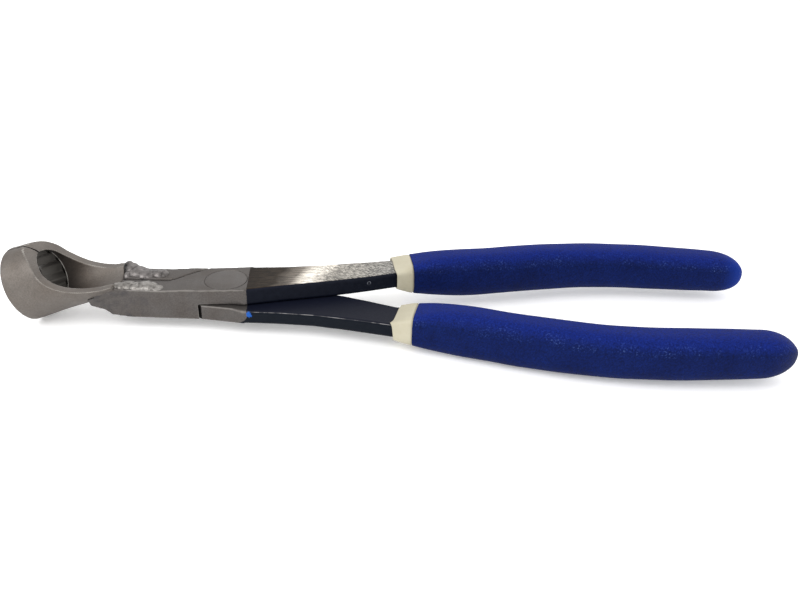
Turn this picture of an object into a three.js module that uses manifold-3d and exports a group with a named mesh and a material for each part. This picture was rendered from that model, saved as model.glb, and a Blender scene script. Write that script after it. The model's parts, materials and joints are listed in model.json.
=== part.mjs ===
import * as THREE from "three";
import { mergeVertices } from "three/addons/utils/BufferGeometryUtils.js";
import Module from "manifold-3d";

// Lap-joint pliers whose jaws carry a split steel cup with a toothed band.
// Millimetres. The tool lies flat, +Z up, mouth towards -X and grips towards +X.
// Everything is drawn round the middle of the joint and lifted at the end, so
// that the origin is on the pivot axis at the joint's underside.

const wasm = await Module();
wasm.setup();

// Overall sizes
const OVERALL_LENGTH = 279;
const JOINT_THICKNESS = 12;
const JOINT_TOP = JOINT_THICKNESS / 2;
const GAP = 0.3;
const HALF_GAP = GAP / 2;
const RIGHT = 1;
const LEFT = -1;

// Joint and jaws
const JAW_HALF_WIDTH = 8.8;
const CHEEK_HALF_WIDTH = 9.2;
const JAW_TOP = 5.3;
const JAW_BLANK_X = -50;
const LAP_TIP_X = -19.2;
const LAP_EDGE_X = -7.9;
const LAP_RELIEF = 0.6;
const SHOULDER_X = 8;
const TANG_END_X = 180;
const RIVET_SHANK_RADIUS = 5;
const RIVET_HEAD_RADIUS = 7.6;
const RIVET_HEAD_DEPTH = 2.6;
const RIVET_HEAD_LAND = 0.8;
const RIVET_CLEARANCE = 0.1;
const RIVET_SEGMENTS = 48;

// Cup: its axis starts at the mouth's centre and climbs towards the joint
const CUP_TILT = THREE.MathUtils.degToRad(19.5);
const MOUTH_X = -75.6;
const MOUTH_Z = 2;
const MOUTH_RADIUS = 13.9;
const CUP_LENGTH = 36;
const TROUGH_RADIUS = 12.5;
const BAND_SEAT_RADIUS = 11.2;
const BAND_SEAT_END = 11;
const CUP_SEGMENTS = 48;

// Toothed band inside the mouth
const BAND_START = 0.9;
const BAND_END = BAND_SEAT_END - GAP;
const BAND_OUTER_RADIUS = BAND_SEAT_RADIUS - GAP;
const BAND_ROOT_RADIUS = 10.1;
const TOOTH_TIP_RADIUS = 9.1;
const TEETH_PER_HALF = 6;
const TOOTH_FILL = 0.56;

// Grips
const GRIP_END_X = OVERALL_LENGTH + MOUTH_X - MOUTH_RADIUS * Math.sin(CUP_TILT);
const GRIP_END_Y = 29;
const GRIP_DOME = 13;
const GRIP_SEGMENTS = 28;

// Colours and surfaces
const FINISHES = {
  steel: { color: 0x77706a, roughness: 0.5, metalness: 0.85 },
  weld: { color: 0x9b9792, roughness: 0.45, metalness: 0.9 },
  paintedSteel: { color: 0x343b48, roughness: 0.5, metalness: 0.4 },
  cream: { color: 0xe6e2cf, roughness: 0.55, metalness: 0 },
  blue: { color: 0x2238a0, roughness: 0.6, metalness: 0 },
};

const group = new THREE.Group();
group.position.z = JOINT_TOP;

function addPart(name, shape, finish) {
  const mesh = new THREE.Mesh(shape.isBufferGeometry ? shape : geometryOf(shape));
  mesh.material = new THREE.MeshStandardMaterial(FINISHES[finish]);
  mesh.name = name;
  group.add(mesh);
}

// A solid for joining and cutting, from a closed geometry
function solidOf(geometry) {
  const bare = geometry.clone();
  bare.deleteAttribute("normal");
  bare.deleteAttribute("uv");
  const merged = mergeVertices(bare, 1e-4);
  return new wasm.Manifold(
    new wasm.Mesh({
      numProp: 3,
      vertProperties: new Float32Array(merged.attributes.position.array),
      triVerts: new Uint32Array(merged.index.array),
    }),
  );
}

function geometryOf(solid) {
  const mesh = solid.getMesh();
  const geometry = new THREE.BufferGeometry();
  geometry.setAttribute("position", new THREE.BufferAttribute(mesh.vertProperties, 3));
  geometry.setIndex(new THREE.BufferAttribute(mesh.triVerts, 1));
  return geometry;
}

function flatShape(points) {
  return new THREE.Shape(points.map(([across, up]) => new THREE.Vector2(across, up)));
}

// Plan outline [x, y], raised from one height to another
function planPrism(points, low, high) {
  const options = { depth: high - low, bevelEnabled: false };
  return solidOf(new THREE.ExtrudeGeometry(flatShape(points), options).translate(0, 0, low));
}

// Side outline [x, z], running across the tool between two values of y
function sidePrism(points, near, far) {
  const options = { depth: far - near, bevelEnabled: false };
  const geometry = new THREE.ExtrudeGeometry(flatShape(points), options);
  return solidOf(geometry.rotateX(Math.PI / 2).translate(0, far, 0));
}

// Profile [radius, height] turned about the Z axis
function turned(profile, segments) {
  const points = profile.map(([radius, height]) => new THREE.Vector2(radius, height));
  return new THREE.LatheGeometry(points, segments).rotateX(Math.PI / 2);
}

// From the cup's own frame (X along its axis, Z up) to the tool's frame
function atCup(geometry) {
  return geometry.rotateY(-CUP_TILT).translate(MOUTH_X, 0, MOUTH_Z);
}

// Closed skin over a row of rings that all have the same number of points
function loft(rings) {
  const count = rings[0].length;
  const positions = rings.flat().flatMap((point) => [point.x, point.y, point.z]);
  const index = [];
  for (let ring = 0; ring < rings.length - 1; ring += 1) {
    for (let step = 0; step < count; step += 1) {
      const here = ring * count + step;
      const beside = ring * count + ((step + 1) % count);
      index.push(here, here + count, beside, beside, here + count, beside + count);
    }
  }
  const last = (rings.length - 1) * count;
  for (let step = 1; step < count - 1; step += 1) {
    index.push(0, step, step + 1);
    index.push(last, last + step + 1, last + step);
  }
  const geometry = new THREE.BufferGeometry();
  geometry.setAttribute("position", new THREE.Float32BufferAttribute(positions, 3));
  geometry.setIndex(index);
  return geometry;
}

// Ring of points across the tool at x: an oval squared off at its corners
function squaredRing(x, y, z, halfWidth, halfHeight, squareness) {
  const ring = [];
  for (let step = 0; step < GRIP_SEGMENTS; step += 1) {
    const angle = (-2 * Math.PI * (step + 0.5)) / GRIP_SEGMENTS;
    const across = Math.cos(angle);
    const up = Math.sin(angle);
    const width = halfWidth * Math.sign(across) * Math.abs(across) ** (2 / squareness);
    const height = halfHeight * Math.sign(up) * Math.abs(up) ** (2 / squareness);
    ring.push(new THREE.Vector3(x, y + width, z + height));
  }
  return ring;
}

// --- Levers -------------------------------------------------------------

// Each lever is the same forging. The left jaw's one has its lap plate and its
// handle, the right one, in the upper half of the joint. The right jaw's one is
// that forging turned over about X.

// Handle sections: x, inner and outer edge on the ground face, extra width of the
// forging's draft at the parting plane, the heights of the two faces, and how far
// the right handle leans away from the middle while the left one leans towards it
const HANDLE_SECTIONS = [
  [2, -8.3, 10.2, 0, HALF_GAP, JOINT_TOP, 0],
  [SHOULDER_X, -7.8, 11.4, 1.1, HALF_GAP, JOINT_TOP, 0],
  [21, -4.3, 12, 1.2, HALF_GAP, JOINT_TOP, 0.6],
  [34, -1.5, 13.6, 1.2, HALF_GAP, JOINT_TOP, 1.3],
  [43, 0.8, 15.4, 1.1, HALF_GAP, JOINT_TOP, 1.5],
  [53, 4, 17.5, 0.9, HALF_GAP, JOINT_TOP, 1.5],
  [62, 7.3, 19.6, 0.7, HALF_GAP, JOINT_TOP, 1.5],
];
const TANG_SECTIONS = [
  [70, 10, 20.2, 0.5, -0.6, 5, 1.2],
  [86, 14.1, 22.7, 0.5, -1.6, 5, 0.5],
  [116, 22.5, 30.1, 0.5, -1.9, 4.7, 0],
  [147, 27.5, 34.7, 0.5, -2.5, 4, 0],
  [TANG_END_X, 27.4, 33.8, 0.5, -2.6, 3.2, 0],
];

function handleRing([x, inner, outer, draft, low, high, lean], side) {
  const bevel = 0.5;
  const rounding = 0.7;
  const shift = side * lean;
  const corners = [
    [inner - draft + bevel, low],
    [inner - draft, low + bevel],
    [inner, high - rounding],
    [inner + rounding, high],
    [outer - rounding, high],
    [outer, high - rounding],
    [outer + draft, low + bevel],
    [outer + draft - bevel, low],
  ];
  return corners.map(([y, z]) => new THREE.Vector3(x, y + shift, z));
}

// The same section with a gap all round it
function grownHandleRing([x, inner, outer, draft, low, high, lean], side) {
  return handleRing([x, inner - GAP, outer + GAP, draft, low - GAP, high + GAP, lean], side);
}

// The cut-off jaw seen from the side, bevelled where the cup is welded on
const JAW_SIDE_OUTLINE = [
  [-48.9, -0.9],
  [-48.4, -2],
  [-43.2, -3.2],
  [-41, -5.1],
  [-34, -JOINT_TOP],
  [SHOULDER_X, -JOINT_TOP],
  [SHOULDER_X, JOINT_TOP],
  [-13, JOINT_TOP],
  [-22, JAW_TOP],
  [-40, JAW_TOP],
  [-41.4, 4.6],
];

// side is that of the handle: RIGHT for the left jaw's lever
function forging(side) {
  const [, [, shoulderInner, shoulderOuter]] = HANDLE_SECTIONS;
  const [[, , jointOuter]] = HANDLE_SECTIONS;
  const upperOutline = [
    [JAW_BLANK_X, -JAW_HALF_WIDTH],
    [LAP_EDGE_X, -CHEEK_HALF_WIDTH],
    [SHOULDER_X, shoulderInner],
    [SHOULDER_X, shoulderOuter],
    [0, jointOuter],
    [LAP_EDGE_X, CHEEK_HALF_WIDTH],
    [LAP_TIP_X, -HALF_GAP],
    [JAW_BLANK_X, -HALF_GAP],
  ];
  const lowerOutline = [
    [JAW_BLANK_X, -JAW_HALF_WIDTH],
    [LAP_EDGE_X - LAP_RELIEF, -CHEEK_HALF_WIDTH],
    [LAP_TIP_X - LAP_RELIEF, -HALF_GAP],
    [JAW_BLANK_X, -HALF_GAP],
  ];
  const upper = planPrism(upperOutline, HALF_GAP, JOINT_TOP);
  const lower = planPrism(lowerOutline, -JOINT_TOP, JOINT_TOP / 2);
  const sections = [...HANDLE_SECTIONS, ...TANG_SECTIONS];
  const handle = solidOf(loft(sections.map((section) => handleRing(section, side))));
  return upper.add(lower).add(handle);
}

function rivetSolid(clearance, overrun) {
  const shank = RIVET_SHANK_RADIUS + clearance;
  const head = RIVET_HEAD_RADIUS + clearance;
  const coneStart = JOINT_TOP - RIVET_HEAD_DEPTH;
  const coneEnd = JOINT_TOP - RIVET_HEAD_LAND;
  const profile = [
    [0, -JOINT_TOP - overrun],
    [head, -JOINT_TOP - overrun],
    [head, -coneEnd],
    [shank, -coneStart],
    [shank, coneStart],
    [head, coneEnd],
    [head, JOINT_TOP + overrun],
    [0, JOINT_TOP + overrun],
  ];
  return solidOf(turned(profile, RIVET_SEGMENTS));
}

// Everything inside the cup's outer surface, with the gap round it
function cupSeat() {
  const radius = TROUGH_RADIUS + GAP;
  const profile = [
    [0, -BAND_SEAT_END],
    [radius, -BAND_SEAT_END],
    [radius, CUP_LENGTH + GAP],
    [0, CUP_LENGTH + GAP],
  ];
  const along = turned(profile, CUP_SEGMENTS).rotateY(Math.PI / 2);
  return solidOf(atCup(along));
}

// side is that of the jaw
function lever(side) {
  const turnedOver = side === LEFT ? 0 : Math.PI;
  const blank = solidOf(geometryOf(forging(-side)).rotateX(turnedOver));
  const reach = 60;
  const jawEnd = sidePrism(JAW_SIDE_OUTLINE, -reach, reach);
  const handleStart = SHOULDER_X - 4;
  const handleOutline = [
    [handleStart, -reach],
    [OVERALL_LENGTH, -reach],
    [OVERALL_LENGTH, reach],
    [handleStart, reach],
  ];
  const handleEnd = planPrism(handleOutline, -reach, reach);
  const trimmed = blank.intersect(jawEnd.add(handleEnd));
  return trimmed.subtract(cupSeat()).subtract(rivetSolid(RIVET_CLEARANCE, 1));
}

addPart("left_jaw_lever", lever(LEFT), "steel");
addPart("right_jaw_lever", lever(RIGHT), "paintedSteel");
addPart("pivot_rivet", rivetSolid(0, 0), "steel");

// --- Cup and toothed band ---------------------------------------------------

// Wall of the cup: [radius, distance back from the mouth]
const CUP_WALL = [
  [BAND_SEAT_RADIUS, 0],
  [MOUTH_RADIUS - 0.4, 0],
  [MOUTH_RADIUS, 0.6],
  [MOUTH_RADIUS - 0.2, 6],
  [13.4, 9.5],
  [12.9, 12],
  [TROUGH_RADIUS + 0.1, 14.5],
  [TROUGH_RADIUS, CUP_LENGTH],
  [10.1, CUP_LENGTH],
  [9.9, 28],
  [9.2, 19],
  [9.1, BAND_SEAT_END + 0.6],
  [9.7, BAND_SEAT_END],
  [BAND_SEAT_RADIUS, BAND_SEAT_END],
  [BAND_SEAT_RADIUS, 0],
];

// The window cut away from the top: [distance back, height above the axis]
const WINDOW_CURVE = [
  [4.6, 14.6],
  [7.9, 13.4],
  [10.6, 11.2],
  [12.6, 7.6],
  [14.2, 3.4],
  [16.6, 0.2],
  [20, -2.7],
  [24.5, -5.1],
  [29, -6.6],
  [33, -7.3],
  [CUP_LENGTH + 2, -7.5],
];

function windowCutter() {
  const curve = new THREE.SplineCurve(WINDOW_CURVE.map(([back, up]) => new THREE.Vector2(back, up)));
  const outline = curve.getPoints(22).map((point) => [point.x, point.y]);
  outline.push([CUP_LENGTH + 2, 20], [4.6, 20]);
  return outline;
}

function halfSpace(side, clearance) {
  const near = side === LEFT ? -40 : clearance;
  const far = side === LEFT ? -clearance : 40;
  return sidePrism([[-20, -40], [60, -40], [60, 40], [-20, 40]], near, far);
}

function cupHalf(side) {
  const ring = solidOf(turned(CUP_WALL, CUP_SEGMENTS).rotateY(Math.PI / 2));
  const opened = ring.subtract(sidePrism(windowCutter(), -20, 20));
  const half = opened.intersect(halfSpace(side, HALF_GAP));
  return atCup(geometryOf(half));
}

function toothedBand(side) {
  const outline = new THREE.Shape();
  const start = Math.PI / 2;
  const pitch = Math.PI / TEETH_PER_HALF;
  outline.absarc(0, 0, BAND_OUTER_RADIUS, start, start + Math.PI, false);
  for (let tooth = TEETH_PER_HALF - 1; tooth >= 0; tooth -= 1) {
    const middle = start + (tooth + 0.5) * pitch;
    const half = (TOOTH_FILL * pitch) / 2;
    outline.absarc(0, 0, BAND_ROOT_RADIUS, middle + pitch / 2, middle + half, true);
    outline.absarc(0, 0, TOOTH_TIP_RADIUS, middle + half, middle - half, true);
    outline.absarc(0, 0, BAND_ROOT_RADIUS, middle - half, middle - pitch / 2, true);
  }
  const options = { depth: BAND_END - BAND_START, bevelEnabled: false, curveSegments: 3 };
  const band = new THREE.ExtrudeGeometry(outline, options).translate(0, 0, BAND_START);
  // Outline's x becomes y, its y becomes z, and the extrusion runs back along the cup
  band.applyMatrix4(new THREE.Matrix4().set(0, 0, 1, 0, 1, 0, 0, 0, 0, 1, 0, 0, 0, 0, 0, 1));
  const turnToSide = side === LEFT ? 0 : Math.PI;
  const placed = solidOf(band.rotateX(turnToSide));
  const opened = placed.subtract(sidePrism(windowCutter(), -20, 20));
  return atCup(geometryOf(opened.intersect(halfSpace(side, HALF_GAP))));
}

for (const [side, word] of [[LEFT, "left"], [RIGHT, "right"]]) {
  addPart(`${word}_cup_half`, cupHalf(side), "steel");
  addPart(`${word}_toothed_band`, toothedBand(side), "steel");
}

// --- Welds --------------------------------------------------------------

// Low rounded bead: a run of half-round sections [x, y, bottom, half width, height]
function bead(sections) {
  const segments = 10;
  const rings = sections.map(([x, y, bottom, halfWidth, height]) => {
    const ring = [];
    for (let step = 0; step <= segments; step += 1) {
      const angle = (-Math.PI * step) / segments;
      const across = halfWidth * Math.cos(angle);
      ring.push(new THREE.Vector3(x, y + across, bottom - height * Math.sin(angle)));
    }
    return ring.reverse();
  });
  return loft(rings);
}

const TOP_REST = JAW_TOP + GAP;
const TOP_WELDS = {
  left_top_weld: [
    [-35.9, -6.2, TOP_REST, 1.2, 0.5],
    [-34, -5.9, TOP_REST, 2.4, 1.2],
    [-30, -5.3, TOP_REST, 2.9, 1.4],
    [-25.5, -5.6, TOP_REST, 2.7, 1.3],
    [-22.5, -6, TOP_REST, 2.2, 1],
    [-20.6, -6.4, TOP_REST, 1, 0.4],
  ],
  left_tack_weld: [
    [-39, -5.6, TOP_REST, 0.9, 0.4],
    [-37.8, -5.6, TOP_REST, 1.6, 1.1],
    [-36.4, -5.7, TOP_REST, 0.9, 0.5],
  ],
  right_top_weld: [
    [-38.2, 4.7, TOP_REST, 3.6, 1.4],
    [-36, 4.6, TOP_REST, 3.7, 1.1],
    [-33.5, 4.4, TOP_REST, 3.3, 0.7],
    [-31, 4, TOP_REST, 2.2, 0.3],
  ],
  right_end_weld: [
    [-30.4, 2.4, TOP_REST, 1, 0.5],
    [-27.5, 3, TOP_REST, 2, 1.2],
    [-24, 3.4, TOP_REST, 2.5, 1.3],
    [-21.6, 3.2, TOP_REST, 1.2, 0.5],
  ],
};
for (const [name, sections] of Object.entries(TOP_WELDS)) {
  addPart(name, solidOf(bead(sections)).subtract(cupSeat()), "weld");
}

// Weld under the cup, in the notch between its wall and the jaw's bevelled tip
const NOTCH_WELD_REACH = 6.5;
const NOTCH_OUTLINE = [
  [-51.4, -2.2],
  [-49.3, -1.5],
  [-48.8, -2.4],
  [-46.9, -2.8],
  [-47.2, -3.2],
  [-49.4, -3.2],
  [-51.4, -3.3],
];
for (const [side, word] of [[LEFT, "left"], [RIGHT, "right"]]) {
  const near = side === LEFT ? -NOTCH_WELD_REACH : GAP;
  const far = side === LEFT ? -GAP : NOTCH_WELD_REACH;
  const filler = sidePrism(NOTCH_OUTLINE, near, far).subtract(cupSeat());
  addPart(`${word}_bottom_weld`, filler, "weld");
}

// --- Dipped grips ---------------------------------------------------------

// Sections of the right handle's grip: x, y and z of the middle, half width, half
// height, squareness, wall of the grip, and the same lean as the handle's
const SLEEVE_MOUTH = [62.5, 13.5, 3.05, 7.5, 3.75, 9, 0, 1.5];
const SLEEVE_FLARE = [68.8, 15, 2.4, 7.4, 6, 4, 0, 1.2];
const GRIP_SECTIONS = [
  [69.5, 15.1, 2.4, 7.6, 6.2, 4, 0.6, 1.2],
  [76, 16.4, 2.3, 7.7, 7.6, 3, 1, 1],
  [86, 18.6, 2, 7.8, 8.6, 2.6, 1.6, 0.5],
  [101, 22.3, 1.8, 7.7, 8.7, 2.6, 1.6, 0],
  [116, 26.3, 1.6, 7.8, 8.6, 2.6, 1.6, 0],
  [131, 29.4, 1.3, 8, 8.4, 2.6, 1.6, 0],
  [147, 31.1, 1, 8.3, 8.2, 2.6, 1.6, 0],
  [163, 31.2, 0.7, 8.3, 8, 2.6, 1.6, 0],
  [178, 30.6, 0.4, 8.2, 7.7, 2.6, 1.6, 0],
  [GRIP_END_X - GRIP_DOME, 30.3, 0.3, 8.1, 7.45, 2.6, 1.6, 0],
];
const DOME_STEPS = [0.3, 0.55, 0.75, 0.9, 0.98, 1];

// Slope of the grip's middle line in plan at each of its sections
function slopeAt(index) {
  const before = GRIP_SECTIONS[Math.max(index - 1, 0)];
  const after = GRIP_SECTIONS[Math.min(index + 1, GRIP_SECTIONS.length - 1)];
  return (0.8 * (after[1] - before[1])) / (after[0] - before[0]);
}

// Ring square to the middle line, an inset smaller than the section it is given.
// The grip that leans out also starts a little nearer to the joint.
function gripRing([x, y, z, halfWidth, halfHeight, squareness, , lean], side, slope, inset) {
  const ring = squaredRing(x, y, z, halfWidth - inset, halfHeight - inset, squareness);
  const shift = side * lean;
  return ring.map((point) => {
    return new THREE.Vector3(x - shift - slope * (point.y - y), point.y + shift, point.z);
  });
}

// Rings of a dipped layer that lies some grip walls and gaps under the outer skin
function dippedRings(side, walls, gaps) {
  const rings = GRIP_SECTIONS.map((section, index) => {
    return gripRing(section, side, slopeAt(index), walls * section[6] + gaps * GAP);
  });
  const last = GRIP_SECTIONS.at(-1);
  const [x, y, z, halfWidth, halfHeight, ...rest] = last;
  const inset = walls * last[6] + gaps * GAP;
  for (const step of DOME_STEPS) {
    const shrink = Math.sqrt(1.02 - step ** 2);
    const section = [
      x + step * (GRIP_DOME - inset),
      y + step * (GRIP_END_Y - y),
      z,
      shrink * (halfWidth - inset),
      shrink * (halfHeight - inset),
      ...rest,
    ];
    rings.push(gripRing(section, side, 0, 0));
  }
  return rings;
}

function shifted(ring, distance) {
  return ring.map((point) => new THREE.Vector3(point.x + distance, point.y, point.z));
}

function sleeveSolid(side) {
  const slope = slopeAt(0);
  const covered = dippedRings(side, 1, 1);
  const outer = [
    gripRing(SLEEVE_MOUTH, side, slope, 0),
    gripRing(SLEEVE_FLARE, side, slope, 0),
    shifted(covered[0], -GAP),
    ...covered,
  ];
  const tang = [HANDLE_SECTIONS.at(-1), ...TANG_SECTIONS];
  const cavity = tang.map((section) => grownHandleRing(section, side));
  cavity.unshift(shifted(cavity[0], -6));
  cavity.push(shifted(cavity.at(-1), GAP));
  return solidOf(loft(outer)).subtract(solidOf(loft(cavity)));
}

function gripSolid(side) {
  const cavity = dippedRings(side, 1, 0);
  cavity.unshift(shifted(cavity[0], -3));
  return solidOf(loft(dippedRings(side, 0, 0))).subtract(solidOf(loft(cavity)));
}

for (const [side, word] of [[LEFT, "left"], [RIGHT, "right"]]) {
  const turnedOver = side === LEFT ? Math.PI : 0;
  addPart(`${word}_handle_sleeve`, geometryOf(sleeveSolid(side)).rotateX(turnedOver), "cream");
  addPart(`${word}_grip`, geometryOf(gripSolid(side)).rotateX(turnedOver), "blue");
}

export default group;
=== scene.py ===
"""Looks for the cup-jaw pliers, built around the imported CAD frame.

Shapes are made in millimetres round the middle of the joint, as the CAD is, and
lifted by the half thickness of the joint when they become pieces in metres.
Every piece replaces the CAD node whose name it starts with.
"""

import json
import math

import bmesh
import bpy
import numpy as np
from mathutils import Matrix, Vector, noise


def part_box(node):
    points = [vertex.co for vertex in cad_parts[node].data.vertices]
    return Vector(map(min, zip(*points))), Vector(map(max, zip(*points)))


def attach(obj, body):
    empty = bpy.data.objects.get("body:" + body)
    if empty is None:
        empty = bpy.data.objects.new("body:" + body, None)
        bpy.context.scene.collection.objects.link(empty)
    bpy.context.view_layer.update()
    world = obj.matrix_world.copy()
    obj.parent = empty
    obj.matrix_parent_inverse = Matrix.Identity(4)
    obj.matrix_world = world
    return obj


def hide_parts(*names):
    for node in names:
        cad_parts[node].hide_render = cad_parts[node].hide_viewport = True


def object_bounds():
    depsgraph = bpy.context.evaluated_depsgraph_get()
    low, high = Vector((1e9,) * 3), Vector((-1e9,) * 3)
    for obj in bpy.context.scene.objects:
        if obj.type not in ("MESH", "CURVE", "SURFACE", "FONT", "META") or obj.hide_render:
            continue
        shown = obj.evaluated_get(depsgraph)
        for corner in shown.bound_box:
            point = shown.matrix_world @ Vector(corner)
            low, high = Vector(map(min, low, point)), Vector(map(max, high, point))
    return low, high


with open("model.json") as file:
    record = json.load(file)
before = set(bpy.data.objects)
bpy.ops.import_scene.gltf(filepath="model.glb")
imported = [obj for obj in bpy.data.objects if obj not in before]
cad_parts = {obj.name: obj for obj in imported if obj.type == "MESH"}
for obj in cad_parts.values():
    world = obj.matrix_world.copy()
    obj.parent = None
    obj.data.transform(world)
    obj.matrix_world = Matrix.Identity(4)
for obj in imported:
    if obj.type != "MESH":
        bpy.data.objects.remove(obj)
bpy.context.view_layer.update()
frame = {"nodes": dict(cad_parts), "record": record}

# Blender's noise_vector starts from the time of day unless it is seeded
NOISE_SEED = 7
noise.seed_set(NOISE_SEED)

MM = 0.001
JOINT_TOP = 1000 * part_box("pivot_rivet")[1].z / 2
LEFT = -1
RIGHT = 1
SIDES = ((LEFT, "left"), (RIGHT, "right"))
GAP = 0.3
BODY_OF = {
    node: body
    for body, nodes in frame["record"]["behaviour"]["bodies"].items()
    for node in nodes
}

# --- Mesh helpers -------------------------------------------------------------


def loft(rings):
    """Closed skin over rings with the same number of points, with a cap at each end."""
    count = len(rings[0])
    faces = []
    for ring in range(len(rings) - 1):
        for step in range(count):
            here = ring * count + step
            beside = ring * count + (step + 1) % count
            faces.append((here, beside, beside + count, here + count))
    last = (len(rings) - 1) * count
    faces.append(tuple(range(count - 1, -1, -1)))
    faces.append(tuple(range(last, last + count)))
    return np.concatenate(rings), faces


def through(rows, places):
    """Smooth curve through every column of a table, read at places along its first column."""
    rows = np.array(rows, float)
    start = rows[:, 0]
    slopes = np.gradient(rows, start, axis=0)
    index = np.clip(np.searchsorted(start, places) - 1, 0, len(start) - 2)
    width = (start[index + 1] - start[index])[:, None]
    t = ((places - start[index]) / width[:, 0])[:, None]
    return (
        (2 * t**3 - 3 * t**2 + 1) * rows[index]
        + (t**3 - 2 * t**2 + t) * width * slopes[index]
        + (3 * t**2 - 2 * t**3) * rows[index + 1]
        + (t**3 - t**2) * width * slopes[index + 1]
    )


def object_from(points, faces, name="scratch"):
    mesh = bpy.data.meshes.new(name)
    mesh.from_pydata([tuple(p) for p in points], [], faces)
    mesh.update()
    thing = bpy.data.objects.new(name, mesh)
    bpy.context.scene.collection.objects.link(thing)
    return thing


def outward(thing):
    """Turns the faces of a closed mesh outward."""
    sheet = bmesh.new()
    sheet.from_mesh(thing.data)
    bmesh.ops.recalc_face_normals(sheet, faces=sheet.faces)
    sheet.to_mesh(thing.data)
    sheet.free()
    return thing


def prism(outline, low, high, axis):
    """Outline [a, b] run from low to high along an axis. Along y it is [x, z], along x [y, z]."""
    rings = []
    for along in (low, high):
        if axis == "y":
            rings.append(np.array([[a, along, b] for a, b in outline]))
        else:
            rings.append(np.array([[along, a, b] for a, b in outline]))
    return outward(object_from(*loft(rings)))


def cad_copy(node):
    """The CAD node's mesh in millimetres round the middle of the joint."""
    source = frame["nodes"][node].data
    copy = source.copy()
    copy.transform(Matrix.Scale(1000, 4))
    copy.transform(Matrix.Translation((0, 0, -JOINT_TOP)))
    copy.materials.clear()
    sheet = bmesh.new()
    sheet.from_mesh(copy)
    bmesh.ops.remove_doubles(sheet, verts=sheet.verts, dist=0.001)
    bmesh.ops.recalc_face_normals(sheet, faces=sheet.faces)
    sheet.to_mesh(copy)
    sheet.free()
    thing = bpy.data.objects.new("scratch", copy)
    bpy.context.scene.collection.objects.link(thing)
    return thing


def carved(thing, cutters=(), keep=(), voxel=None, rounds=4, share=1.0):
    """Cuts a solid. With a voxel size it also rounds its edges, by remeshing and smoothing."""
    for operation, others in (("DIFFERENCE", cutters), ("INTERSECT", keep)):
        for other in others:
            cut = thing.modifiers.new("cut", "BOOLEAN")
            cut.operation = operation
            cut.solver = "EXACT"
            cut.object = other
    if voxel:
        remesh = thing.modifiers.new("remesh", "REMESH")
        remesh.mode = "VOXEL"
        remesh.voxel_size = voxel
        smooth = thing.modifiers.new("smooth", "SMOOTH")
        smooth.factor = 0.5
        smooth.iterations = rounds
    if share < 1:
        thin = thing.modifiers.new("thin", "DECIMATE")
        thin.ratio = share
    bpy.context.view_layer.update()
    shape = thing.evaluated_get(bpy.context.evaluated_depsgraph_get())
    mesh = bpy.data.meshes.new_from_object(shape)
    for other in (thing, *cutters, *keep):
        bpy.data.objects.remove(other)
    return mesh


def lumpy(lumps, base=None):
    """Object of ellipsoids, joined to a base mesh if there is one.

    Each lump is x, y, z of the middle, then half length, half width and half height.
    """
    sheet = bmesh.new()
    if base is not None:
        sheet.from_mesh(base)
    for lump in lumps:
        centre, halves = lump[:3], lump[3:]
        made = bmesh.ops.create_icosphere(sheet, subdivisions=3, radius=1)
        for vertex in made["verts"]:
            for axis in range(3):
                vertex.co[axis] = centre[axis] + vertex.co[axis] * halves[axis]
    thing = object_from([], [])
    sheet.to_mesh(thing.data)
    sheet.free()
    return thing


def points_of(mesh):
    points = np.zeros(len(mesh.vertices) * 3)
    mesh.vertices.foreach_get("co", points)
    return points.reshape(-1, 3)


def normals_of(mesh):
    normals = np.zeros(len(mesh.vertices) * 3)
    mesh.vertices.foreach_get("normal", normals)
    return normals.reshape(-1, 3)


def set_points(mesh, points):
    mesh.vertices.foreach_set("co", points.astype(np.float32).ravel())
    mesh.update()


def roughened(mesh, size, depth, where=None):
    """Moves each point along its normal by seeded noise: lumps of a size, up to a depth."""
    points = points_of(mesh)
    normals = normals_of(mesh)
    lift = np.array([noise.fractal(Vector(p / size), 1.0, 2.0, 3) for p in points])
    if where is not None:
        lift = lift * where(points)
    set_points(mesh, points + normals * (depth * lift)[:, None])


def spread_over(mesh, values, rounds):
    """Averages a value over each point's neighbours, a number of times."""
    edges = np.zeros(len(mesh.edges) * 2, int)
    mesh.edges.foreach_get("vertices", edges)
    one, other = edges.reshape(-1, 2).T
    count = len(mesh.vertices)
    degree = np.bincount(one, minlength=count) + np.bincount(other, minlength=count)
    for _ in range(rounds):
        total = np.bincount(one, values[other], count) + np.bincount(other, values[one], count)
        values = total / np.maximum(degree, 1)
    return values


def edge_share(mesh, turned=1):
    """Near 1 on sharp outer edges, 0 on flats and in corners. Turned -1 finds the corners."""
    sharpest = 0.985
    points = points_of(mesh)
    mean = np.stack([spread_over(mesh, points[:, axis], 1) for axis in range(3)], axis=1)
    bulge = np.einsum("ij,ij->i", points - mean, normals_of(mesh))
    sharp = spread_over(mesh, np.maximum(turned * bulge, 0), 1)
    return np.clip(sharp / (np.quantile(sharp, sharpest) + 1e-9), 0, 1)


def mark(mesh, name, values):
    """Stores a value for each point, which the materials read by name."""
    marks = mesh.attributes.new(name, "FLOAT", "POINT")
    marks.data.foreach_set("value", values.astype(np.float32))


def finished(node, mesh, look, sharp_degrees=None):
    """Turns a mesh in millimetres into the piece that replaces a CAD node."""
    mesh.transform(Matrix.Translation((0, 0, JOINT_TOP)))
    mesh.transform(Matrix.Scale(MM, 4))
    mesh.polygons.foreach_set("use_smooth", [True] * len(mesh.polygons))
    if sharp_degrees is not None:
        mesh.set_sharp_from_angle(angle=math.radians(sharp_degrees))
    mesh.materials.clear()
    mesh.materials.append(look)
    mesh.name = node + "_finished"
    piece = bpy.data.objects.new(node + "_finished", mesh)
    bpy.context.scene.collection.objects.link(piece)
    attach(piece, BODY_OF[node])
    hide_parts(node)
    return piece


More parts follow.
